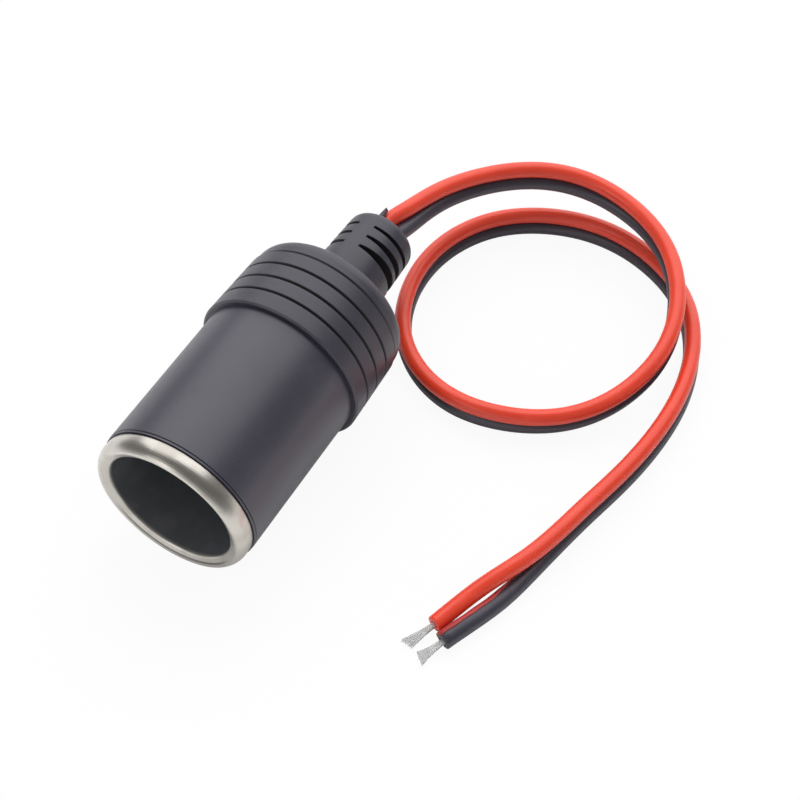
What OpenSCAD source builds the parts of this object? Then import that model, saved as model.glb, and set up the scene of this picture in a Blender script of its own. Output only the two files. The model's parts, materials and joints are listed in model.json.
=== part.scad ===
/* [Steel cup] */
// Inside diameter of the cup that takes the plug
bore_d = 21.4; // [20.8:0.1:21.8]
// Depth of the cup from its mouth to its floor
bore_depth = 38; // [34:0.5:42]
// Thickness of the drawn sheet
sheet_t = 0.5; // [0.4:0.05:0.6]
// Inside radius where the wall turns into the floor
cup_corner_r = 2.2; // [2.1:0.1:2.6]

/* [Rolled lip] */
// How far the roll stands in front of the mouth
lip_rise = 0.75; // [0.6:0.05:0.9]
// Radius of the roll's outer bow
lip_bow_r = 2.7; // [2.6:0.1:3.2]
// Distance from the mouth to the widest place of the roll
lip_belly_at = 1.25; // [1.1:0.05:1.4]
// Distance from the mouth to the rear edge of the skirt
skirt_len = 2.4; // [1.9:0.1:3.6]
// How far the skirt closes in towards its rear edge, on the radius
skirt_close = 0.1; // [0.05:0.05:0.3]
// How far the roll lies inside the barrel's surface, on the radius
lip_inset = 0.2; // [0:0.05:0.3]
// Open line between the skirt's edge and the sleeve
lip_gap = 0.15; // [0.1:0.05:0.3]

/* [Barrel sleeve] */
// Thickness of the barrel wall around the cup
barrel_wall = 2.15; // [1.9:0.05:3]
// Width of the small bead at the barrel's front edge
bead_w = 0.3; // [0.2:0.05:0.8]
// Depth of the line behind that bead
bead_line = 0.15; // [0.05:0.05:0.25]
// How far the sleeve runs on behind the cup floor
sleeve_overrun = 3; // [2.2:0.1:5]

/* [Boot collar] */
// Step from the barrel's surface up to the collar, on the radius
collar_step = 1; // [0.6:0.1:2]
// Length of the boot from the collar's front edge to the neck
collar_len = 16.6; // [13:0.2:20]
// Wall of the boot over the sleeve's spigot
boot_wall = 2.2; // [1.8:0.1:2.4]
// How much the collar narrows from its front edge to the dome, on the radius
collar_taper = 0.4; // [0:0.1:0.8]
// Number of grooves around the collar
groove_count = 4; // [2:1:6]
// Distance from the collar's front edge to the first groove
first_groove = 3.4; // [2:0.1:4.5]
// Depth of each groove
groove_depth = 0.5; // [0.2:0.05:0.8]
// Width of each groove at the surface
groove_w = 0.6; // [0.3:0.05:1]
// Length of the domed shoulder behind the last groove
dome_len = 4.1; // [3:0.1:5]
// How square the dome is: 2 is an ellipse, more is squarer
dome_fullness = 3.2; // [2:0.1:4]
// Clear length inside the boot, from the sleeve's end to the neck
cavity_len = 5.1; // [4.8:0.1:7]

/* [Strain relief] */
// Diameter of the strain relief at the neck
relief_d = 12.8; // [11.6:0.1:14]
// How much the strain relief narrows to its end, on the radius
relief_taper = 0.45; // [0:0.05:0.8]
// Length of the strain relief
relief_len = 15.9; // [13:0.1:22]
// Radius of the hollow fillet at the neck
neck_fillet = 1.2; // [0.6:0.1:2]
// Rounding of the strain relief's far edge
end_round = 1.5; // [0.6:0.1:2]
// Number of slot rings
slot_count = 3; // [1:1:4]
// Distance between slot rings
slot_pitch = 2.4; // [2.2:0.1:3.4]
// Distance from the far end to the last slot ring
slot_from_end = 3.5; // [2.4:0.1:3.8]
// Width of the last slot ring at the outside
slot_w = 0.9; // [0.6:0.1:1.2]
// How much wider each ring is than the one behind it
slot_growth = 0.45; // [0:0.05:0.5]
// Width of every slot at the bridges
slot_tip_w = 0.55; // [0.3:0.05:0.6]
// Rubber left between the slots and the cable channel
slot_floor = 1.1; // [0.8:0.1:1.6]
// Width of each bridge between the two slots of a ring
bridge_w = 2.8; // [2:0.1:4]
// How far the bridges are turned from the top
bridge_turn = -9; // [-40:1:40]
// Length of the thin pointed tongue of flash that stands beside the cable
flap_len = 3.6; // [2:0.1:5]
// How far that tongue is turned from the top
flap_turn = -26; // [-40:1:-10]
// Width of the tongue at its root
flap_w = 1.8; // [1:0.1:2.4]
// Thickness of the tongue
flap_t = 0.6; // [0.4:0.1:0.8]

/* [Contacts] */
// Diameter of the centre contact's head
contact_head_d = 9; // [7:0.1:10]
// Height of that head
contact_head_h = 1.2; // [0.8:0.1:1.3]
// Diameter of the centre contact's shank
contact_shank_d = 4; // [3:0.1:4.6]
// Diameter of its spread tail
contact_tail_d = 5.8; // [5.2:0.1:6.2]
// Thickness of each insulating washer
washer_t = 0.8; // [0.6:0.1:0.9]
// Diameter of the hole in the cup floor
floor_hole_d = 7.1; // [6:0.1:8]
// Thickness of the solder tags
tag_t = 0.6; // [0.4:0.05:0.7]
// Width of the solder tags
tag_w = 3; // [2.4:0.1:3.4]
// Diameter of the ring on the positive tag
tag_ring_d = 8.4; // [7.6:0.1:9]
// Shank diameter of the ground rivet
ground_rivet_d = 1.5; // [1:0.1:1.6]
// Head diameter of the ground rivet
ground_head_d = 2.2; // [2:0.05:2.25]
// Head height of the ground rivet
ground_head_h = 0.6; // [0.4:0.05:0.7]

/* [Twin cable] */
// Outer diameter of each insulated core
core_d = 2.75; // [2.3:0.05:2.8]
// How much longer the black core is than the red one
black_longer = 0.8; // [0:0.1:1.5]
// How far the pair is turned from upright where it leaves the boot
exit_turn = -70; // [-80:1:-60]
// Diameter of one bare strand
strand_d = 0.24; // [0.16:0.01:0.25]
// Length of the bare end of the red core
red_bare_len = 5.6; // [3:0.1:8]
// Length of the bare end of the black core
black_bare_len = 5.4; // [3:0.1:8]
// Thickness of the strip torn off the web
web_t = 0.9; // [0.6:0.1:1.1]

/* [Fits] */
// Clearance on the radius between parts that slide together
fit = 0.05; // [0.02:0.01:0.1]

/* [Hidden] */

$fn = 96;

// Radii of the cup, the lip, the barrel and the boot, each built on the one inside it
cup_r = bore_d/2;
cup_out_r = cup_r + sheet_t;
sleeve_bore_r = cup_out_r + fit;
barrel_r = sleeve_bore_r + barrel_wall;
lip_r = barrel_r - lip_inset;
skirt_r = lip_r - skirt_close;
collar_r = barrel_r + collar_step;
spigot_bore_r = collar_r - boot_wall;
spigot_r = spigot_bore_r - fit;
dome_r = collar_r - collar_taper;
neck_r = relief_d/2;
relief_end_r = neck_r - relief_taper;

// Places along the axis, from the mouth at 0 to the far end of the strain relief
floor_back = bore_depth + sheet_t;
sleeve_end = floor_back + sleeve_overrun;
neck_at = sleeve_end + cavity_len;
collar_at = neck_at - collar_len;
dome_at = neck_at - dome_len;
groove_pitch = (dome_at - collar_at - first_groove)/(groove_count - 1);
relief_end = neck_at + relief_len;
channel_at = neck_at - 0.6;
cavity_cone_at = channel_at - 2;
cavity_r = 8.5;
cavity_end_r = 4.7;

// The sleeve's front edge: the bead stands behind the skirt, and a fine line follows it
shoulder_at = skirt_len + lip_gap;
bead_end = shoulder_at + bead_w;
line_end = bead_end + 0.2;

// The roll has two tight bends, one sheet thick, at the mouth and at its crest. The bow lies between
// the crest and the skirt, and each bend's middle is also the sheet's corner on the hidden side.
bow_x = lip_r - lip_bow_r;
mouth_x = cup_out_r;
mouth_y = sheet_t/2;
crest_y = sheet_t - lip_rise;
crest_x = bow_x + sqrt(pow(lip_bow_r - sheet_t, 2) - pow(lip_belly_at - crest_y, 2));

// The body touches the ground with its collar and with its front, at the lip or at the barrel's edge.
// The collar's front edge is broken by a small bevel.
edge_bevel = 0.3;
touch_at = collar_at + edge_bevel;
touch_r = collar_r - collar_taper*edge_bevel/(dome_at - collar_at);
rest_tilt = min(
    atan((touch_r - lip_r)/(touch_at - lip_belly_at)),
    atan((touch_r - barrel_r)/(touch_at - line_end)));
mouth_h = max(
    lip_r*cos(rest_tilt) - lip_belly_at*sin(rest_tilt),
    barrel_r*cos(rest_tilt) - line_end*sin(rest_tilt));

// The origin lies on the ground below the middle of the body, flap included
front_y = -lip_rise*cos(rest_tilt) - crest_x*sin(rest_tilt);
rear_y = (relief_end + flap_len)*cos(rest_tilt);
middle_y = (front_y + rear_y)/2;

// Contact stack on the cup floor
head_at = bore_depth - washer_t;
ring_at = floor_back + washer_t;
tail_at = ring_at + tag_t;
tail_h = 0.8;
tail_round = 0.6;
head_round = 1.2;
rivet_round = 0.25;
solder_r = core_d/2;
solder_cut = 0.1;
tag_face_r = contact_tail_d/2 + 0.5;
solder_mid_r = tag_face_r - solder_r + solder_cut;
tag_foot = 0.4;
tag_tip = channel_at - 0.6;
shelf_at = tail_at + tail_h + 1.5;
rivet_gap = 0.35;
ground_head_r = ground_head_d/2;
ground_rivet_r = cup_r - cup_corner_r - ground_head_r - rivet_gap;
ground_foot_end_r = ground_rivet_r + 1.4;
ground_foot_r = ground_rivet_r - ground_head_r - rivet_gap/2 - tag_t;
outer_washer_r = ground_foot_r - rivet_gap;
inner_washer_r = ground_rivet_r - ground_head_r - rivet_gap;

// Cable channel through the strain relief, for the two cores side by side
channel_clearance = 0.15;
channel_r = core_d/2 + channel_clearance;
channel_half = core_d/2;
slot_floor_r = channel_half + channel_r + slot_floor;

// Route of the twin cable: x, y and height of its middle, the turn of the pair from
// upright (red above) and the gap between the cores. The first rows follow the channel.
function on_axis(at) = [0, at*cos(rest_tilt) - middle_y, mouth_h + at*sin(rest_tilt)];
route = concat(
    [for (at = [channel_at, channel_at + 10, channel_at + 19]) concat(on_axis(at), [exit_turn, 0])],
    [
        [1.5, 35.5, 15.8, -25, 0],
        [3, 45.5, 14.9, -5, 0],
        [11.5, 58, 13.3, 0, 0],
        [23.5, 64, 11.4, -5, 0],
        [41, 59, 9.4, 10, 0],
        [49.5, 43.5, 7.5, -5, 0],
        [48.5, 30, 4.7, -5, 0],
        [40.5, 17.5, 2.85, -15, 0],
        [23, 12, 2.75, -5, 0],
        [10.5, 18.5, 2.75, -10, 0],
        [4.5, 28, 2.75, 0, 0],
        [2.5, 41.5, 2.75, -5, 0],
        [8.5, 55.5, 2.75, 0, 0],
        [23.5, 62.5, 2.75, 0, 0],
        [37.5, 60, 2.75, 0, 0],
        [49.5, 51.5, 2.75, 0, 0],
        [55.5, 34.5, 2.75, 5, 0],
        [54, 16.5, 2.75, 5, 0],
        [51, 5.5, 2.85, 5, 0],
        [48.5, -8, 3.15, 5, 0.2],
        [44.5, -17.5, 2.05, 80, 0.8],
        [41.8, -24.4, 1.45, 90, 0.3]
    ]);
ring_count = 40;

// The strip of web: how many steps it takes and how far before the end it starts, in rows
web_rings = 8;
web_start = 0.9;

// Bare strands: distance between them at the core and at the tip, where the rows lie
// half beside and half above each other, how much the outer ones lack and how far they droop
strand_pitch = 0.3;
tip_pitch = 0.58;
tip_shift = 0.19;
tip_lift = 0.18;
strand_stagger = 0.25;
strand_droop = 0.07;

// Curve through the route: a uniform cubic B-spline that starts and ends on its end rows
last = len(route) - 1;
function row(i) = i < 0 ? 2*route[0] - route[1]
    : i > last ? 2*route[last] - route[last - 1] : route[i];
function blend(i, a, b, c, d) = (a*row(i - 1) + b*row(i) + c*row(i + 1) + d*row(i + 2))/6;
function span(s) = min(floor(s), last - 1);
function along(s) = let(i = span(s), u = s - i)
    blend(i, pow(1 - u, 3), 3*pow(u, 3) - 6*u*u + 4, -3*pow(u, 3) + 3*u*u + 3*u + 1, pow(u, 3));
function slope(s) = let(i = span(s), u = s - i)
    blend(i, -3*pow(1 - u, 2), 9*u*u - 12*u, -9*u*u + 6*u + 3, 3*u*u);

function xyz(v) = [v[0], v[1], v[2]];
function unit(v) = v/norm(v);
function heading(s) = unit(xyz(slope(s)));
function sideways(s) = unit(cross(heading(s), [0, 0, 1]));
function upwards(s) = cross(sideways(s), heading(s));
function towards_red(s) = let(turn = along(s)[3]) cos(turn)*upwards(s) + sin(turn)*sideways(s);

// Middle of the core on one side of the pair: 1 is red, -1 is black, whose end is cut further on
function core_mid(s, sign) = xyz(along(s)) + sign*(core_d + along(s)[4])/2*towards_red(s)
    + (sign < 0 && s == last ? black_longer : 0)*heading(s);

// Eight points around a middle, square to the route, with a flat towards the other core
function ring_of(mid, s, d) = let(up = towards_red(s), side = cross(heading(s), up))
    [for (k = [0:7]) mid + d/2*(cos(22.5 + 45*k)*side + sin(22.5 + 45*k)*up)];

// Closed skin over a list of rings of eight points
module skin(rings) {
    n = len(rings);
    points = [for (r = rings) for (p = r) p];
    sides = [for (i = [0:n - 2]) for (k = [0:7]) let(a = 8*i + k, b = 8*i + (k + 1)%8)
        each [[a, b, b + 8], [a, b + 8, a + 8]]];
    polyhedron(points, concat([[7, 6, 5, 4, 3, 2, 1, 0]], sides,
        [[for (k = [0:7]) 8*(n - 1) + k]]));
}

module cord(sign) {
    skin([for (i = [0:ring_count - 1]) let(s = last*i/(ring_count - 1))
        ring_of(core_mid(s, sign), s, core_d)]);
}

// Round bar between two points
module bar(a, b, d) {
    v = b - a;
    translate(a)
        rotate([0, acos(v[2]/norm(v)), atan2(v[1], v[0])])
            cylinder(h = norm(v), d = d, $fn = 16);
}

// Points of an elliptic arc
function arc(cx, cy, rx, ry, from, to, n) = [for (i = [0:n])
    let(a = from + (to - from)*i/n) [cx + rx*cos(a), cy + ry*sin(a)]];

// Lays the body down: its axis, built along Z, turns to Y and tilts until front and collar rest
module lay_down() {
    translate([0, -middle_y, mouth_h])
        rotate([rest_tilt - 90, 0, 0])
            children();
}

// Turns a piece about the axis, from the top towards +X
module turned(angle) {
    rotate([0, 0, angle])
        children();
}

// Stands a flat profile of radius and axial place on the top line, w wide
module upright(w) {
    rotate([0, 0, -90])
        translate([0, w/2, 0])
            rotate([90, 0, 0])
                linear_extrude(w)
                    children();
}

// Drawn cup with the rolled lip, one sheet thick all along
module socket_shell() {
    flare = 180 + atan2(crest_x - mouth_x, mouth_y - crest_y);
    bow_from = 360 - asin((lip_belly_at - crest_y)/(lip_bow_r - sheet_t));
    bow_step = (360 - bow_from)/6;
    skirt_run = skirt_len - lip_belly_at;
    skirt_bow_r = (skirt_run*skirt_run + skirt_close*skirt_close)/(2*skirt_close);
    skirt_x = lip_r - skirt_bow_r;
    skirt_turn = asin(skirt_run/skirt_bow_r);
    corner_x = cup_r - cup_corner_r;
    corner_y = bore_depth - cup_corner_r;
    outer_corner_r = cup_corner_r + sheet_t;
    color("silver")
        lay_down()
            difference() {
                rotate_extrude()
                    polygon(concat(
                        [[floor_hole_d/2, bore_depth]],
                        arc(corner_x, corner_y, cup_corner_r, cup_corner_r, 90, 0, 5),
                        arc(mouth_x, mouth_y, sheet_t, sheet_t, 180, flare, 4),
                        arc(crest_x, crest_y, sheet_t, sheet_t, flare, bow_from, 5),
                        arc(bow_x, lip_belly_at, lip_bow_r, lip_bow_r, bow_from + bow_step, 360, 5),
                        arc(skirt_x, lip_belly_at, skirt_bow_r, skirt_bow_r, skirt_turn/2, skirt_turn, 1),
                        arc(skirt_x, lip_belly_at, skirt_bow_r - sheet_t, skirt_bow_r - sheet_t,
                            skirt_turn, skirt_turn/2, 1),
                        arc(bow_x, lip_belly_at, lip_bow_r - sheet_t, lip_bow_r - sheet_t, 360, bow_from, 6),
                        [[mouth_x, mouth_y]],
                        arc(corner_x, corner_y, outer_corner_r, outer_corner_r, 0, 90, 5),
                        [[floor_hole_d/2, floor_back]]));
                turned(exit_turn + 180)
                    translate([0, -ground_rivet_r, bore_depth - 1])
                        cylinder(h = sheet_t + 2, r = ground_rivet_d/2 + fit, $fn = 24);
            }
}

// Moulded sleeve: a nose inside the rolled lip, the barrel and a spigot for the boot
module barrel_sleeve() {
    nose_r = skirt_r - sheet_t - fit;
    nose_at = 0.4;
    nose_chamfer = 0.3;
    bead_r = barrel_r - 0.05;
    color("#4a4a50")
        lay_down()
            rotate_extrude()
                polygon([
                    [sleeve_bore_r, nose_at],
                    [nose_r - nose_chamfer, nose_at],
                    [nose_r, nose_at + nose_chamfer],
                    [nose_r, shoulder_at],
                    [bead_r, shoulder_at],
                    [bead_r, bead_end],
                    [bead_r - bead_line, (bead_end + line_end)/2],
                    [barrel_r, line_end],
                    [barrel_r, collar_at],
                    [spigot_r, collar_at],
                    [spigot_r, sleeve_end - nose_chamfer],
                    [spigot_r - nose_chamfer, sleeve_end],
                    [sleeve_bore_r, sleeve_end]]);
}

// Outline of the boot: collar with its grooves, dome, neck and strain relief
function collar_surface(at) = collar_r - collar_taper*(at - collar_at)/(dome_at - collar_at);
function groove(at) = [
    [collar_surface(at - groove_w/2), at - groove_w/2],
    [collar_surface(at) - groove_depth, at],
    [collar_surface(at + groove_w/2), at + groove_w/2]];
dome_root_r = neck_r + neck_fillet;
function dome_point(a) = [
    dome_root_r + (dome_r - groove_depth/2 - dome_root_r)*pow(cos(a), 2/dome_fullness),
    dome_at + groove_w/2 + (dome_len - groove_w/2)*pow(sin(a), 2/dome_fullness)];

module boot_outline() {
    polygon(concat(
        [[0, collar_at], [collar_r - edge_bevel, collar_at], [touch_r, touch_at]],
        [for (i = [0:groove_count - 2]) each groove(collar_at + first_groove + i*groove_pitch)],
        [[dome_r, dome_at - groove_w/2], [dome_r - groove_depth, dome_at]],
        [for (a = [0:8:88]) dome_point(a)],
        arc(dome_root_r, neck_at + neck_fillet, neck_fillet, neck_fillet, 270, 180, 4),
        arc(relief_end_r - end_round, relief_end - end_round, end_round, end_round, 0, 90, 5),
        [[0, relief_end]]));
}

// One pair of slots, left and right of the bridges. Each is cut by a blade that is thin at the bridges
// and wide at the outside, down to the wall round the cores.
module slots(at, w) {
    tip = bridge_w/2;
    reach = neck_r + 0.5;
    root_w = slot_tip_w + (w - slot_tip_w)*(reach - tip)/(neck_r - tip);
    difference() {
        for (side = [0, 180])
            turned(bridge_turn + side)
                translate([0, reach, at])
                    rotate([90, 0, 0])
                        linear_extrude(2*reach)
                            polygon([[tip, -slot_tip_w/2], [reach, -root_w/2],
                                [reach, root_w/2], [tip, slot_tip_w/2]]);
        translate([0, 0, at - w])
            cylinder(h = 2*w, r = slot_floor_r);
    }
}

// Thin pointed tongue of flash beside the cable, bent slightly outwards
module exit_flap() {
    root = 0.5;
    tip_w = 0.24;
    bend = 2;
    stand = channel_half*cos(exit_turn - flap_turn) + channel_r + fit;
    turned(flap_turn)
        translate([0, -stand, relief_end - root])
            rotate([90 + bend, 0, 0])
                linear_extrude(flap_t)
                    polygon([[-flap_w/2, 0], [flap_w/2, 0], [flap_w/4, 0.75*flap_len],
                        [tip_w/2, flap_len + root], [-tip_w/2, flap_len + root]]);
}

module rear_boot() {
    color("#55555c")
        lay_down()
            difference() {
                union() {
                    rotate_extrude()
                        boot_outline();
                    exit_flap();
                }
                rotate_extrude()
                    polygon([[0, collar_at - 1], [spigot_bore_r, collar_at - 1],
                        [spigot_bore_r, sleeve_end], [cavity_r, sleeve_end], [cavity_r, cavity_cone_at],
                        [cavity_end_r, channel_at], [0, channel_at]]);
                for (side = [0, 180])
                    turned(exit_turn + side)
                        translate([0, -channel_half, channel_at - 0.1])
                            cylinder(h = relief_len + 1, r = channel_r, $fn = 48);
                for (i = [0:slot_count - 1])
                    slots(relief_end - slot_from_end - i*slot_pitch, slot_w + i*slot_growth);
            }
}

// Rivet: domed head in the cup, shank through the washers, spread tail over the tag
module centre_contact() {
    head_r = contact_head_d/2;
    shank_r = contact_shank_d/2;
    tail_r = contact_tail_d/2;
    color("#c9b27a")
        lay_down()
            rotate_extrude()
                polygon(concat(
                    [[0, head_at - contact_head_h]],
                    arc(head_r - head_round, head_at - contact_head_h + 0.75*head_round,
                        head_round, 0.75*head_round, 270, 360, 5),
                    [[head_r, head_at], [shank_r, head_at], [shank_r, tail_at], [tail_r, tail_at]],
                    arc(tail_r - tail_round, tail_at + tail_h - tail_round,
                        tail_round, tail_round, 0, 90, 4),
                    [[0, tail_at + tail_h]]));
}

// Flat insulating washer under the contact's head
module inner_washer() {
    color("#b98a4e")
        lay_down()
            translate([0, 0, bore_depth - washer_t])
                difference() {
                    cylinder(h = washer_t, r = inner_washer_r);
                    translate([0, 0, -1])
                        cylinder(h = washer_t + 2, r = contact_shank_d/2 + fit);
                }
}

// Insulating washer behind the floor, with a bush that fills the floor hole
module outer_washer() {
    color("#b98a4e")
        lay_down()
            translate([0, 0, bore_depth])
                difference() {
                    union() {
                        cylinder(h = sheet_t + washer_t, r = floor_hole_d/2 - fit);
                        translate([0, 0, sheet_t])
                            cylinder(h = washer_t, r = outer_washer_r);
                    }
                    translate([0, 0, -1])
                        cylinder(h = sheet_t + washer_t + 2, r = contact_shank_d/2 + fit);
                }
}

// Ring tag under the rivet's tail, with an arm bent up beside the red core
module positive_tag() {
    color("#d8cfa8")
        lay_down()
            turned(exit_turn) {
                difference() {
                    union() {
                        translate([0, 0, ring_at])
                            cylinder(h = tag_t, d = tag_ring_d);
                        upright(tag_w)
                            polygon([[tag_face_r - tag_foot, ring_at], [tag_face_r + tag_t, ring_at],
                                [tag_face_r + tag_t, tag_tip], [tag_face_r, tag_tip],
                                [tag_face_r, ring_at + tag_t], [tag_face_r - tag_foot, ring_at + tag_t]]);
                    }
                    translate([0, 0, ring_at - 1])
                        cylinder(h = tag_t + 2, r = contact_shank_d/2 + fit);
                }
            }
}

// Tag riveted to the cup floor, stepped in and bent up beside the black core
module ground_tag() {
    color("#d8cfa8")
        lay_down()
            turned(exit_turn + 180)
                difference() {
                    upright(tag_w)
                        polygon([[ground_foot_r, floor_back], [ground_foot_end_r, floor_back],
                            [ground_foot_end_r, floor_back + tag_t],
                            [ground_foot_r + tag_t, floor_back + tag_t],
                            [ground_foot_r + tag_t, shelf_at + tag_t],
                            [tag_face_r + tag_t, shelf_at + tag_t],
                            [tag_face_r + tag_t, tag_tip], [tag_face_r, tag_tip],
                            [tag_face_r, shelf_at], [ground_foot_r, shelf_at]]);
                    translate([0, -ground_rivet_r, floor_back - 1])
                        cylinder(h = tag_t + 2, r = ground_rivet_d/2 + fit, $fn = 24);
                }
}

// Small rivet through the cup floor and the ground tag
module ground_rivet() {
    head_r = ground_head_r;
    shank_r = ground_rivet_d/2;
    foot_at = floor_back + tag_t;
    color("#c8c8c4")
        lay_down()
            turned(exit_turn + 180)
                translate([0, -ground_rivet_r, 0])
                    rotate_extrude($fn = 32)
                        polygon([[0, bore_depth - ground_head_h],
                            [head_r - rivet_round, bore_depth - ground_head_h],
                            [head_r, bore_depth - rivet_round], [head_r, bore_depth],
                            [shank_r, bore_depth], [shank_r, foot_at],
                            [head_r, foot_at], [head_r, foot_at + rivet_round],
                            [head_r - rivet_round, foot_at + ground_head_h],
                            [0, foot_at + ground_head_h]]);
}

// Solder over a stripped core end, flat against its tag and the core's cut face
module solder_joint(from) {
    difference() {
        translate([0, -solder_mid_r, from])
            cylinder(h = channel_at - from, r = solder_r, $fn = 32);
        translate([-2*solder_r, -tag_face_r - 4*solder_r, from - 1])
            cube([4*solder_r, 4*solder_r, channel_at]);
    }
}

module positive_solder() {
    color("#b4b6b8")
        lay_down()
            turned(exit_turn)
                solder_joint(tail_at + tail_h + 1);
}

module ground_solder() {
    color("#b4b6b8")
        lay_down()
            turned(exit_turn + 180)
                solder_joint(shelf_at + tag_t + 0.2);
}

module red_core() {
    color("#e8503c")
        cord(1);
}

module black_core() {
    color("#3c3c42")
        cord(-1);
}

// Bare strands that fan out flat from a core's cut face, clear of each other and of the ground
module strands(sign, len, swing) {
    side = sideways(last);
    up = upwards(last);
    root = core_mid(last, sign) + 0.06*heading(last);
    ahead = unit(heading(last) + swing*side - strand_droop*up);
    for (i = [-1.5:1.5])
        for (k = [-1:1])
            bar(root + strand_pitch*(i*side + k*up),
                root + (len - strand_stagger*abs(i))*ahead
                    + (tip_pitch*i + tip_shift*k)*side + tip_lift*k*up,
                strand_d);
}

module red_strands() {
    color("#cfd0d2")
        strands(1, red_bare_len, 0.2);
}

module black_strands() {
    color("#cfd0d2")
        strands(-1, black_bare_len, 0.08);
}

// Thin strip of red web that stayed on the black core when the pair was pulled apart
module torn_web() {
    color("#c83a30")
        skin([for (i = [0:web_rings]) let(s = last - web_start*(1 - i/web_rings))
            ring_of(core_mid(s, -1) + (core_d + web_t)/2*unit(towards_red(s) + upwards(s)), s, web_t)]);
}

socket_shell();
barrel_sleeve();
rear_boot();
centre_contact();
inner_washer();
outer_washer();
positive_tag();
ground_tag();
ground_rivet();
positive_solder();
ground_solder();
red_core();
black_core();
red_strands();
black_strands();
torn_web();
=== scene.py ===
import json
import math
import random

import bmesh
import bpy
from mathutils import Euler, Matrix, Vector


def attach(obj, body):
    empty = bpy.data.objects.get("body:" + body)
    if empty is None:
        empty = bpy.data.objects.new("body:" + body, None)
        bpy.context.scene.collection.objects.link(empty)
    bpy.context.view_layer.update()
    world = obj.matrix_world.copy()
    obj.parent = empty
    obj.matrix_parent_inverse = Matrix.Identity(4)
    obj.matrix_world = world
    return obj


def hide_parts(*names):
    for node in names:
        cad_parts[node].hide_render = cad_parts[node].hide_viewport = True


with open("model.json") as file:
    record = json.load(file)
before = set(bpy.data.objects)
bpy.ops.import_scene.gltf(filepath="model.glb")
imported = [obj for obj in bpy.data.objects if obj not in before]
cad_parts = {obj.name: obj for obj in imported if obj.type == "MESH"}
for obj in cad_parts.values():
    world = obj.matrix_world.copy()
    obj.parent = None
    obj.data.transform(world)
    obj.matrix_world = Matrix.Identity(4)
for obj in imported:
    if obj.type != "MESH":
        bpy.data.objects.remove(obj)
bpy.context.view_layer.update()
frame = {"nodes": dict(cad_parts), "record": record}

# The camera looks down on the part from the side of its mouth, from about a quarter of a metre
# away, with a long lens. The picture is square.
camera_data = bpy.data.cameras.new("camera")
camera_data.lens = 76.5
camera_data.sensor_width = 36
camera = bpy.data.objects.new("camera", camera_data)
camera.location = (0.10331, -0.14217, 0.21872)
camera.rotation_euler = Euler((math.radians(39.18), 0, math.radians(30.17)))
bpy.context.scene.collection.objects.link(camera)
bpy.context.scene.camera = camera
bpy.context.scene.view_settings.view_transform = "Standard"


class Shade:
    """A socket of a material's or the world's nodes. Arithmetic on it adds Math nodes."""

    def __init__(self, tree, socket=None):
        self.tree = tree
        self.socket = socket

    def node(self, kind, settings, inputs, output=0):
        """Adds a node, sets it up, fills its sockets with values or links, and gives one output."""
        made = self.tree.nodes.new(kind)
        for name, value in settings.items():
            setattr(made, name, value)
        for name, value in inputs.items():
            if isinstance(value, Shade):
                self.tree.links.new(value.socket, made.inputs[name])
            else:
                made.inputs[name].default_value = value
        return Shade(self.tree, made.outputs[output] if made.outputs else None)

    def beside(self, output):
        """Another output of the node that this socket belongs to."""
        return Shade(self.tree, self.socket.node.outputs[output])

    def maths(self, operation, *values):
        inputs = dict(enumerate((self, *values)))
        return self.node("ShaderNodeMath", {"operation": operation}, inputs)

    def __add__(self, other):
        return self.maths("ADD", other)

    __radd__ = __add__

    def __mul__(self, other):
        return self.maths("MULTIPLY", other)

    __rmul__ = __mul__

    def __sub__(self, other):
        return self.maths("SUBTRACT", other)

    def __rsub__(self, other):
        return (self * -1).maths("ADD", other)

    def between(self, low, high):
        """0 below low, 1 above high, and a smooth step from one to the other."""
        settings = {"interpolation_type": "SMOOTHSTEP"}
        inputs = {"Value": self, "From Min": low, "From Max": high}
        return self.node("ShaderNodeMapRange", settings, inputs)

    def colours(self, low, high):
        """A colour that goes from low, where this is 0, to high, where it is 1."""
        inputs = {"Factor": self, 6: low if isinstance(low, Shade) else (*low, 1)}
        inputs[7] = high if isinstance(high, Shade) else (*high, 1)
        return self.node("ShaderNodeMix", {"data_type": "RGBA"}, inputs, output=2)


def empty_material(name):
    """A material without any nodes, and the Shade that its nodes start from."""
    material = bpy.data.materials.new(name)
    material.use_nodes = True
    material.node_tree.nodes.clear()
    return material, Shade(material.node_tree)


# The part lies on a white ground that runs out of the picture. The camera sees it almost as plain
# white paper with a faint shadow round the part, and reflections show more of that shadow.
bpy.ops.mesh.primitive_plane_add(size=3)
ground = bpy.context.object
ground.name = "ground"
paper, start = empty_material("white_paper")
spot = start.node("ShaderNodeTexCoord", {}, {}, "Object")
distance = start.node("ShaderNodeVectorMath", {"operation": "LENGTH"}, {0: spot}, "Value")
far = distance.between(0.15, 0.5)
seen = start.node("ShaderNodeLightPath", {}, {}, "Is Camera Ray") * (0.93 + 0.07 * far)
seen = seen.maths("MAXIMUM", start.node("ShaderNodeLightPath", {}, {}, "Is Glossy Ray") * 0.1)
through = start.node("ShaderNodeLightPath", {}, {}, "Is Transmission Ray") * 0.93
seen = seen.maths("MAXIMUM", through)
lit = start.node("ShaderNodeBsdfDiffuse", {}, {"Color": (0.86, 0.86, 0.86, 1)})
plain = start.node("ShaderNodeEmission", {}, {"Color": (1, 1, 1, 1), "Strength": 1.0})
surface = start.node("ShaderNodeMixShader", {}, {0: seen, 1: lit, 2: plain})
start.node("ShaderNodeOutputMaterial", {}, {"Surface": surface})
ground.data.materials.append(paper)

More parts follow.
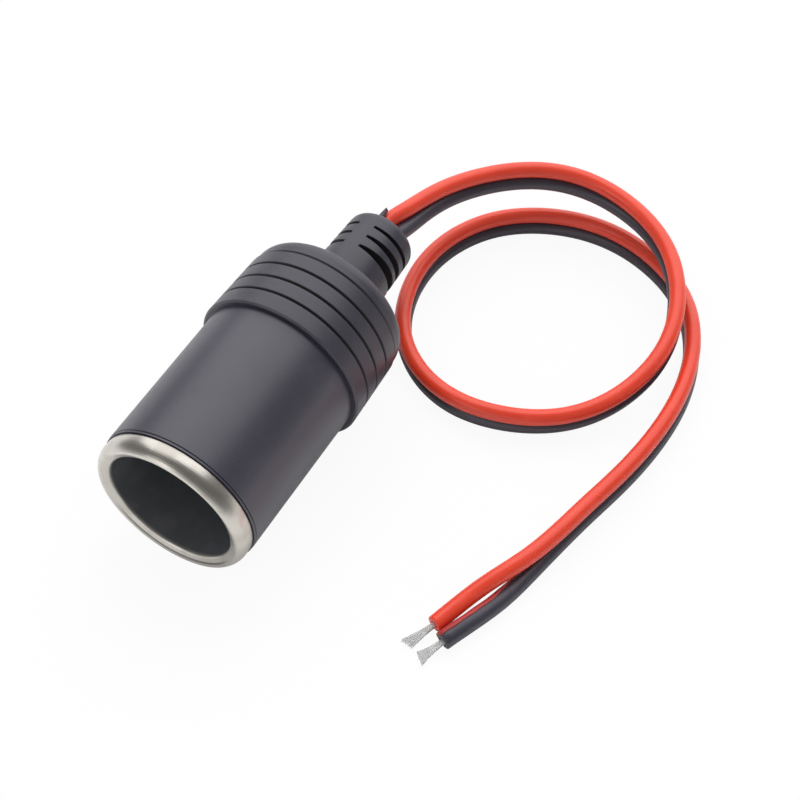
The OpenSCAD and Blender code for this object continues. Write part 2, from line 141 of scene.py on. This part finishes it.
# Beyond the ground there is only white air, which lights the part more softly than it looks. In
# reflections it is white near the ground and dim overhead, as in a room with one wide window.
world = bpy.data.worlds.new("white_air")
world.use_nodes = True
world.node_tree.nodes.clear()
bpy.context.scene.world = world
start = Shade(world.node_tree)
direction = start.node("ShaderNodeTexCoord", {}, {}, "Generated")
height = start.node("ShaderNodeSeparateXYZ", {}, {0: direction}, "Z")
sideways = start.node("ShaderNodeSeparateXYZ", {}, {0: direction}, "X")
plain = start.node("ShaderNodeLightPath", {}, {}, "Is Camera Ray")
plain = plain.maths("MAXIMUM", start.node("ShaderNodeLightPath", {}, {}, "Is Transmission Ray"))
glossy = start.node("ShaderNodeLightPath", {}, {}, "Is Glossy Ray")
aside = sideways.maths("MAXIMUM", sideways * -0.8)
overhead = (height + aside * aside * 0.8).between(0.3, 0.7)
strength = 0.5 + plain * 0.5 + glossy * (0.45 - 0.8 * overhead)
air = start.node("ShaderNodeBackground", {}, {"Color": (1, 1, 1, 1), "Strength": strength})
start.node("ShaderNodeOutputWorld", {}, {"Surface": air})


def softbox(name, place, width, length, power, mirrored=True):
    """A rectangular lamp that faces the part. One that isn't mirrored leaves no highlight."""
    lamp = bpy.data.lights.new(name, "AREA")
    lamp.shape = "RECTANGLE"
    lamp.size = width
    lamp.size_y = length
    lamp.energy = power
    holder = bpy.data.objects.new(name, lamp)
    holder.location = place
    holder.visible_glossy = mirrored
    holder.rotation_euler = (-Vector(place)).to_track_quat("-Z", "Y").to_euler()
    bpy.context.scene.collection.objects.link(holder)


# One wide soft lamp hangs behind the part, above it and to the left. A smaller one beside it gives
# the shading more depth, and a weak one fills from the front.
softbox("lamp_back", (-0.27, 0.83, 1.05), 2.3, 1.7, 16.5)
softbox("lamp_top", (-0.35, 0.6, 1.2), 0.8, 0.8, 6, False)
softbox("lamp_front", (-0.35, -0.8, 0.5), 0.5, 0.5, 1.0)

# The bore's axis runs from the mouth to the back and rises a little, because the part lies on the
# front edge of its barrel and on its wider collar. Distances along it are counted from the mouth.
bore = frame["record"]["mounts"][0]
rearwards = -Vector(bore["axis"])
mount_at = 0.018
mouth = Vector(bore["pos_m"]) - mount_at * rearwards
rest_tilt = math.asin(rearwards.z)


def on_axis(distance):
    return mouth + distance * rearwards


# The twin lead: two cores in PVC insulation, red and black, joined side by side. It leaves the boot
# through the strain relief, lies in one and a half turns on the ground and is split at its end.
# Each row is the pair's middle, its turn from upright (red above) and the gap between the cores.
# The rows were fitted to the lead's edges in the photograph and rounded.
core_d = 0.00275
black_longer = 0.0008
lead_rows = [(*on_axis(at), -70, 0) for at in (0.046, 0.056, 0.065)] + [
    (0.0015, 0.0355, 0.0158, -25, 0),
    (0.003, 0.0455, 0.0149, -5, 0),
    (0.0115, 0.058, 0.0133, 0, 0),
    (0.0235, 0.064, 0.0114, -5, 0),
    (0.041, 0.059, 0.0094, 10, 0),
    (0.0495, 0.0435, 0.0075, -5, 0),
    (0.0485, 0.03, 0.0047, -5, 0),
    (0.0405, 0.0175, 0.00285, -15, 0),
    (0.023, 0.012, 0.00275, -5, 0),
    (0.0105, 0.0185, 0.00275, -10, 0),
    (0.0045, 0.028, 0.00275, 0, 0),
    (0.0025, 0.0415, 0.00275, -5, 0),
    (0.0085, 0.0555, 0.00275, 0, 0),
    (0.0235, 0.0625, 0.00275, 0, 0),
    (0.0375, 0.06, 0.00275, 0, 0),
    (0.0495, 0.0515, 0.00275, 0, 0),
    (0.0555, 0.0345, 0.00275, 5, 0),
    (0.054, 0.0165, 0.00275, 5, 0),
    (0.051, 0.0055, 0.00285, 5, 0),
    (0.0485, -0.008, 0.00315, 5, 0.0002),
    (0.0445, -0.0175, 0.00205, 80, 0.0008),
    (0.0418, -0.0244, 0.00145, 90, 0.0003),
]
last_row = len(lead_rows) - 1


def lead_row(i):
    """A row of the route, continued in a straight line by one row at both ends."""
    if i < 0:
        return [2 * a - b for a, b in zip(lead_rows[0], lead_rows[1])]
    if i > last_row:
        return [2 * a - b for a, b in zip(lead_rows[-1], lead_rows[-2])]
    return lead_rows[i]


def lead_at(s):
    """Row values and their slope at s rows along the route, on a uniform cubic B-spline."""
    i = min(int(s), last_row - 1)
    u = s - i
    near = [lead_row(i + k) for k in (-1, 0, 1, 2)]
    weights = ((1 - u) ** 3, 3 * u**3 - 6 * u**2 + 4, -3 * u**3 + 3 * u**2 + 3 * u + 1, u**3)
    slopes = (-3 * (1 - u) ** 2, 9 * u**2 - 12 * u, -9 * u**2 + 6 * u + 3, 3 * u**2)
    values = [sum(w * row[k] for w, row in zip(weights, near)) / 6 for k in range(5)]
    slope = Vector([sum(w * row[k] for w, row in zip(slopes, near)) for k in range(3)])
    return values, slope


def level_axes(heading):
    """The level direction to the right of a heading, and the one square to both."""
    sideways = heading.cross(Vector((0, 0, 1))).normalized()
    return sideways, sideways.cross(heading)


def core_at(s, side):
    """Middle of one core (1 is red, -1 is black), its heading and the direction towards the red
    core. The black core's end is cut further on."""
    values, slope = lead_at(s)
    heading = slope.normalized()
    sideways, upwards = level_axes(heading)
    turn = math.radians(values[3])
    to_red = math.cos(turn) * upwards + math.sin(turn) * sideways
    middle = Vector(values[:3]) + side * (core_d + values[4]) / 2 * to_red
    if side < 0 and s == last_row:
        middle += black_longer * heading
    return middle, heading, to_red


def new_piece(name, mesh):
    """Turns a finished bmesh into a piece at the origin."""
    bmesh.ops.recalc_face_normals(mesh, faces=mesh.faces)
    data = bpy.data.meshes.new(name)
    mesh.to_mesh(data)
    mesh.free()
    piece = bpy.data.objects.new(name, data)
    bpy.context.scene.collection.objects.link(piece)
    return piece


def skin(name, rings, lengths):
    """A tube over rings of points, closed by its first and last ring, with a UV map that holds the
    turn around it, from 0 to 1, and the distance along it in metres."""
    mesh = bmesh.new()
    uv = mesh.loops.layers.uv.new("UVMap")
    around = len(rings[0])
    rows = [[mesh.verts.new(point) for point in ring] for ring in rings]
    for i in range(len(rings) - 1):
        for k in range(around):
            n = (k + 1) % around
            face = mesh.faces.new((rows[i][k], rows[i][n], rows[i + 1][n], rows[i + 1][k]))
            face.smooth = True
            spots = ((k, i), (k + 1, i), (k + 1, i + 1), (k, i + 1))
            for loop, (turn, step) in zip(face.loops, spots):
                loop[uv].uv = (turn / around, lengths[step])
    mesh.faces.new(list(reversed(rows[0])))
    mesh.faces.new(rows[-1])
    return new_piece(name, mesh)


def insulated_core(name, side, spacing=0.0009, around=28):
    """One core from inside the boot to its cut end, where the insulation is left hollow for the
    strands. Returns the piece and the points that it follows."""
    rough_length = 0.314
    count = round(rough_length / spacing)
    middles = [core_at(last_row * i / count, side) for i in range(count + 1)]
    path = [middle for middle, _, _ in middles]
    distances = [0]
    for a, b in zip(path, path[1:]):
        distances.append(distances[-1] + (b - a).length)
    rings = []
    lengths = []

    def ring(middle, heading, to_red, radius, length):
        across = heading.cross(to_red)
        turns = [2 * math.pi * k / around for k in range(around)]
        outwards = [math.cos(a) * to_red + math.sin(a) * across for a in turns]
        rings.append([middle + radius * out for out in outwards])
        lengths.append(length)

    for (middle, heading, to_red), length in zip(middles, distances):
        ring(middle, heading, to_red, core_d / 2, length)
    middle, heading, to_red = middles[-1]
    rings.pop()
    lengths.pop()
    # Distance ahead of the cut and share of the core's radius
    cut_edge = ((-0.00008, 1), (0, 0.95), (0, 0.52), (-0.0002, 0.46), (-0.0012, 0.46))
    for ahead, share in cut_edge:
        ring(middle + ahead * heading, heading, to_red, share * core_d / 2, distances[-1] + ahead)
    return skin(name, rings, lengths), path


def pvc(name, dull, bright, roughness):
    """Extruded PVC: a satin skin with faint drawn lines along the core, slow bands of colour and a
    few scuffs."""
    material, start = empty_material(name)
    uv = start.node("ShaderNodeTexCoord", {}, {}, "UV")
    parts = start.node("ShaderNodeSeparateXYZ", {}, {0: uv})
    length = parts.beside(1)
    turn = parts * (2 * math.pi)
    lines_at = start.node("ShaderNodeCombineXYZ", {}, {
        0: turn.maths("COSINE") * 9, 1: turn.maths("SINE") * 9, 2: length * 60})
    lines = start.node("ShaderNodeTexNoise", {}, {"Vector": lines_at, "Scale": 1.0, "Detail": 3.0})
    place = start.node("ShaderNodeTexCoord", {}, {}, "Object")
    bands = start.node("ShaderNodeTexNoise", {}, {"Vector": place, "Scale": 90.0, "Detail": 2.0})
    grain = start.node("ShaderNodeTexNoise", {}, {"Vector": place, "Scale": 3800.0, "Detail": 3.0})
    scuffs = start.node("ShaderNodeTexNoise", {}, {"Vector": place, "Scale": 420.0, "Detail": 5.0})
    scuffed = scuffs.between(0.56, 0.72)
    tone = bands.between(0.3, 0.7) * 0.55 + lines.between(0.3, 0.7) * 0.25 + scuffed * 0.2
    height = lines * 0.5 + grain * 0.2 + scuffed * -0.2
    bump = start.node("ShaderNodeBump", {}, {
        "Height": height, "Strength": 0.25, "Distance": 0.00006})
    skin_shader = start.node("ShaderNodeBsdfPrincipled", {}, {
        "Base Color": tone.colours(dull, bright),
        "Specular IOR Level": 0.65,
        "Roughness": roughness + scuffed * 0.14 + lines * 0.06,
        "Normal": bump})
    start.node("ShaderNodeOutputMaterial", {}, {"Surface": skin_shader})
    return material


def tail(name, side, left_tip, right_tip, frayed, seed):
    """The bare end of a core: tinned strands that leave it as a round bunch and are pressed into a
    flat fan, whose far edge runs from left_tip to right_tip. frayed is how unevenly they end."""
    chance = random.Random(seed)
    root, heading, _ = core_at(last_row, side)
    sideways, upwards = level_axes(heading)
    strands = 66
    steps = 12
    sides = 6
    strand_r = 0.00008
    bunch_r = 0.0004
    layer_gap = 0.00025
    tip_layer_gap = 0.00006
    hidden = 0.0008
    straight = 0.0027
    uneven = 0.00004
    ripple = 0.00003
    mesh = bmesh.new()
    for strand in range(strands):
        share = (strand + 0.5) / strands
        layer = strand % 3 - 1
        up_root = layer * layer_gap
        across_root = (1 - 2 * share) * math.sqrt(bunch_r**2 - up_root**2)
        start_at = root + across_root * sideways + up_root * upwards - hidden * heading
        end_at = left_tip.lerp(right_tip, share) + layer * tip_layer_gap * upwards
        end_at += chance.uniform(-uneven, uneven) * sideways
        end_at = end_at.lerp(root, frayed * chance.random())
        turn_at = start_at + straight * heading
        wave = chance.uniform(-ripple, ripple)
        rings = []
        for i in range(steps + 1):
            u = i / steps
            middle = (1 - u) ** 2 * start_at + 2 * u * (1 - u) * turn_at + u * u * end_at
            middle += wave * math.sin(2 * math.pi * u) * (sideways + upwards)
            half_width = strand_r + 0.00001 * u
            half_height = strand_r - 0.00002 * u
            rings.append([
                middle + half_width * math.cos(a) * sideways + half_height * math.sin(a) * upwards
                for a in (2 * math.pi * k / sides for k in range(sides))])
        rows = [[mesh.verts.new(point) for point in ring] for ring in rings]
        for low, high in zip(rows, rows[1:]):
            for k in range(sides):
                n = (k + 1) % sides
                face = mesh.faces.new((low[k], low[n], high[n], high[k]))
                face.smooth = True
        mesh.faces.new(list(reversed(rows[0])))
        mesh.faces.new(rows[-1])
    return new_piece(name, mesh)


def metal(name, dull, bright, roughness, scale, tarnish):
    """Plain or plated metal: bright where it is clean, duller and rougher in soft patches."""
    material, start = empty_material(name)
    place = start.node("ShaderNodeTexCoord", {}, {}, "Object")
    broad = {"Vector": place, "Scale": scale, "Detail": 4.0}
    patches = start.node("ShaderNodeTexNoise", {}, broad)
    small = {"Vector": place, "Scale": scale * 14, "Detail": 2.0}
    fine = start.node("ShaderNodeTexNoise", {}, small)
    worn = patches.between(0.42, 0.68) * tarnish
    bump = start.node("ShaderNodeBump", {}, {"Height": fine, "Strength": 0.15, "Distance": 0.00003})
    plate = start.node("ShaderNodeBsdfPrincipled", {}, {
        "Base Color": worn.colours(bright, dull),
        "Metallic": 1.0,
        "Roughness": roughness + worn * 0.25 + fine * 0.08,
        "Normal": bump})
    start.node("ShaderNodeOutputMaterial", {}, {"Surface": plate})
    return material


def dress(name, material):
    """Gives a CAD node its finish."""
    node = frame["nodes"][name]
    node.data.materials.clear()
    node.data.materials.append(material)


# The bare ends are bunches of fine tinned copper strands, fanned out and pressed flat. The red one
# is frayed, and the black one is cut clean.
tinned_copper = metal("tinned_copper", (0.76, 0.75, 0.74), (0.95, 0.95, 0.95), 0.58, 700, 0.4)
red_tips = (Vector((0.037, -0.0284, 0.0006)), Vector((0.0393, -0.0286, 0.0005)))
black_tips = (Vector((0.0402, -0.0288, 0.0006)), Vector((0.042, -0.0304, 0.0005)))
red_tail = tail("red_tail", 1, *red_tips, 0.15, 3)
red_tail.data.materials.append(tinned_copper)
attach(red_tail, "root")
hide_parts("red_strands")
black_tail = tail("black_tail", -1, *black_tips, 0.05, 8)
black_tail.data.materials.append(tinned_copper)
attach(black_tail, "root")
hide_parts("black_strands")

# The strip of red web that stayed on the black core when the pair was pulled apart. It clings to
# the core's upper side, starts thin in the notch between the cores and has a ragged upper edge.
chance = random.Random(12)
web_rows = 90
web_length = 0.0225
web_span = 2.1
wide_after = 0.45
across_steps = 8
rings = []
lengths = []
for i in range(web_rows + 1):
    share = i / web_rows
    s = last_row - web_span * (1 - share)
    middle, heading, _ = core_at(s, -1)
    sideways, upwards = level_axes(heading)
    opened = min(1, share / wide_after)
    low = math.radians(10 - 25 * opened)
    ragged = 3 * math.sin(31 * share) * share
    high = math.radians(28 + 46 * opened + ragged + chance.uniform(-1.2, 1.2))
    thick = (0.00006 + 0.0002 * opened) * (0.9 + 0.1 * math.sin(23 * share))
    inner_r = core_d / 2 - 0.00004
    outer = []
    inner = []
    for k in range(across_steps + 1):
        u = k / across_steps
        a = low + (high - low) * u
        bulge = math.sin(math.pi * (0.12 + 0.76 * u))
        out = math.cos(a) * sideways + math.sin(a) * upwards
        outer.append(middle + (inner_r + 0.00005 + thick * bulge) * out)
        inner.append(middle + inner_r * out)
    rings.append(outer + inner[::-1])
    lengths.append(web_length * share)
torn_strip = skin("torn_strip", rings, lengths)
red_web = pvc("red_web", (0.36, 0.026, 0.026), (0.50, 0.038, 0.036), 0.5)
torn_strip.data.materials.append(red_web)
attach(torn_strip, "root")
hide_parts("torn_web")

red_lead, red_path = insulated_core("red_lead", 1)
red_insulation = pvc("red_insulation", (0.76, 0.044, 0.014), (0.87, 0.062, 0.023), 0.3)
red_lead.data.materials.append(red_insulation)
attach(red_lead, "root")
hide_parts("red_core")
core_at(2, 1)[0]

black_lead, black_path = insulated_core("black_lead", -1)
black_insulation = pvc("black_insulation", (0.036, 0.032, 0.048), (0.056, 0.052, 0.071), 0.34)
black_lead.data.materials.append(black_insulation)
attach(black_lead, "root")
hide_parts("black_core")
core_at(2, -1)[0]


def on_barrel(start):
    """Object coordinates turned so that the bore's axis is Z and the mouth is its zero."""
    turn = Euler((math.pi / 2 - rest_tilt, 0, 0))
    place = start.node("ShaderNodeTexCoord", {}, {}, "Object")
    return start.node("ShaderNodeMapping", {}, {
        "Vector": place, "Rotation": turn, "Location": -(turn.to_matrix() @ mouth)})


def round_the_axis(place):
    """From coordinates on the barrel: how far down, how far along the axis and how far from it."""
    across = place.node("ShaderNodeSeparateXYZ", {}, {0: place})
    down = across.beside(1)
    along = across.beside(2)
    return down, along, (across * across + down * down).maths("SQRT")


def moulded(name, dull, bright, roughness, grain_scale, grain_depth, spec, painted_shade_mask=None):
    """Moulded plastic or rubber: fine grain, slow clouds of tone and a few rubbed places. The
    optional last argument gives, from coordinates on the barrel, where the surface lies in a groove
    or slot, and there the colour is painted near-black as painted shade."""
    material, start = empty_material(name)
    place = on_barrel(start)
    clouds = start.node("ShaderNodeTexNoise", {}, {"Vector": place, "Scale": 85.0, "Detail": 3.0})
    small = {"Vector": place, "Scale": grain_scale, "Detail": 2.0}
    grain = start.node("ShaderNodeTexNoise", {}, small)
    rubbed = start.node("ShaderNodeTexNoise", {}, {"Vector": place, "Scale": 300.0, "Detail": 6.0})
    rub = rubbed.between(0.55, 0.75)
    tone = clouds.between(0.25, 0.75) * 0.6 + grain.between(0.35, 0.65) * 0.2 + rub * 0.2
    bump = start.node("ShaderNodeBump", {}, {
        "Height": grain + rubbed * 0.3, "Strength": 0.35, "Distance": grain_depth})
    colour = tone.colours(dull, bright)
    rough = roughness + grain * 0.08 + rub * 0.06
    if painted_shade_mask:
        # Painted shade: deep in the grooves and slots the colour goes near-black.
        painted_shade = painted_shade_mask(place)
        colour = painted_shade.colours(colour, (0.008, 0.007, 0.011))
        rough = rough + painted_shade * 0.35
    shader = start.node("ShaderNodeBsdfPrincipled", {}, {
        "Base Color": colour,
        "Roughness": rough,
        "Specular IOR Level": spec,
        "Normal": bump})
    start.node("ShaderNodeOutputMaterial", {}, {"Surface": shader})
    return material


# The sleeve is moulded in a hard dark grey plastic with a satin face.
dress("barrel_sleeve", moulded("sleeve_plastic", (0.028, 0.026, 0.043), (0.042, 0.040, 0.062), 0.36,
                               2600.0, 0.00004, 1.0))


def boot_painted_shade(place):
    """Where the boot gets painted shade: 1 in the collar's grooves and in the strain relief's
    slots, 0 on the outside of the boot.
    """
    _, along, radius = round_the_axis(place)
    collar_at, collar_r, collar_slope = 0.03, 0.0144, 0.032
    neck_at, neck_r, relief_slope = 0.0466, 0.0064, 0.0283
    collar_depth = collar_r - (along - collar_at) * collar_slope - radius
    in_groove = collar_depth.between(0.00005, 0.0002)
    in_groove = in_groove * along.between(0.0302, 0.0304) * (1 - along.between(0.0425, 0.0427))
    relief_depth = neck_r - (along - neck_at) * relief_slope - radius
    in_slot = relief_depth.between(0.00008, 0.0003)
    in_slot = in_slot * along.between(0.0515, 0.0517) * (1 - along.between(0.0602, 0.0604))
    return in_groove + in_slot


# The boot is moulded in a soft, matter grade of the same grey, with painted shade in its grooves
# and slots.
dress("rear_boot", moulded("boot_rubber", (0.023, 0.021, 0.035), (0.034, 0.031, 0.049), 0.38,
                           1900.0, 0.00005, 0.8, boot_painted_shade))

# The cup is drawn from one steel sheet and its front is rolled over the sleeve. The roll is nickel
# plated and bright, with grey smudges, and a thin dark line low on its front is a painted
# reflection of shadow. The inside of the cup is dark. Each pair of values is where a soft edge
# starts and ends.
bore_rim = (0.01072, 0.01092)
reflection_inner = (0.01142, 0.01158)
reflection_outer = (0.01172, 0.01188)
reflection_below = (0.005, 0.009)
cup, start = empty_material("nickel_plate")
place = on_barrel(start)
down, along, radius = round_the_axis(place)
smudges = start.node("ShaderNodeTexNoise", {}, {"Vector": place, "Scale": 260.0, "Detail": 6.0})
fine = start.node("ShaderNodeTexNoise", {}, {"Vector": place, "Scale": 3200.0, "Detail": 2.0})
smudge = smudges.between(0.45, 0.7)
inside = (1 - radius.between(*bore_rim)) * along.between(-0.0002, 0.0006)
# Painted reflection: a thin dark ring on the lower half of the roll's front, standing for reflected
# shadow.
painted_reflection = radius.between(*reflection_inner) * (1 - radius.between(*reflection_outer))
painted_reflection = painted_reflection * down.between(*reflection_below) * 0.8
plated = smudge.colours((0.66, 0.63, 0.58), (0.57, 0.54, 0.49))
dark = smudge.colours((0.095, 0.105, 0.115), (0.125, 0.125, 0.135))
bump = start.node("ShaderNodeBump", {}, {"Height": fine, "Strength": 0.2, "Distance": 0.00003})
steel = start.node("ShaderNodeBsdfPrincipled", {}, {
    "Base Color": inside.colours(painted_reflection.colours(plated, (0.12, 0.12, 0.11)), dark),
    "Metallic": 1 - inside,
    "Roughness": 0.3 + smudge * 0.06 + inside * 0.3,
    "Normal": bump})
start.node("ShaderNodeOutputMaterial", {}, {"Surface": steel})
dress("socket_shell", cup)

# Inside the cup and the boot: the contact rivet, its two washers of brown laminate, the tinned
# brass tags, the small ground rivet and the solder that holds the cores.
contact_brass = metal("contact_brass", (0.55, 0.42, 0.22), (0.74, 0.60, 0.36), 0.28, 500, 0.5)
dress("centre_contact", contact_brass)
laminate = moulded("brown_laminate", (0.16, 0.065, 0.028), (0.27, 0.12, 0.055), 0.6,
                   1500.0, 0.00004, 0.3)
dress("inner_washer", laminate)
dress("outer_washer", laminate)
tinned_brass = metal("tinned_brass", (0.45, 0.40, 0.28), (0.74, 0.70, 0.58), 0.32, 600, 0.7)
dress("positive_tag", tinned_brass)
dress("ground_tag", tinned_brass)
plated_rivet = metal("plated_rivet", (0.40, 0.39, 0.37), (0.70, 0.69, 0.66), 0.3, 800, 0.6)
dress("ground_rivet", plated_rivet)
solder = metal("solder", (0.34, 0.35, 0.37), (0.60, 0.61, 0.63), 0.42, 900, 0.8)
dress("positive_solder", solder)
dress("ground_solder", solder)
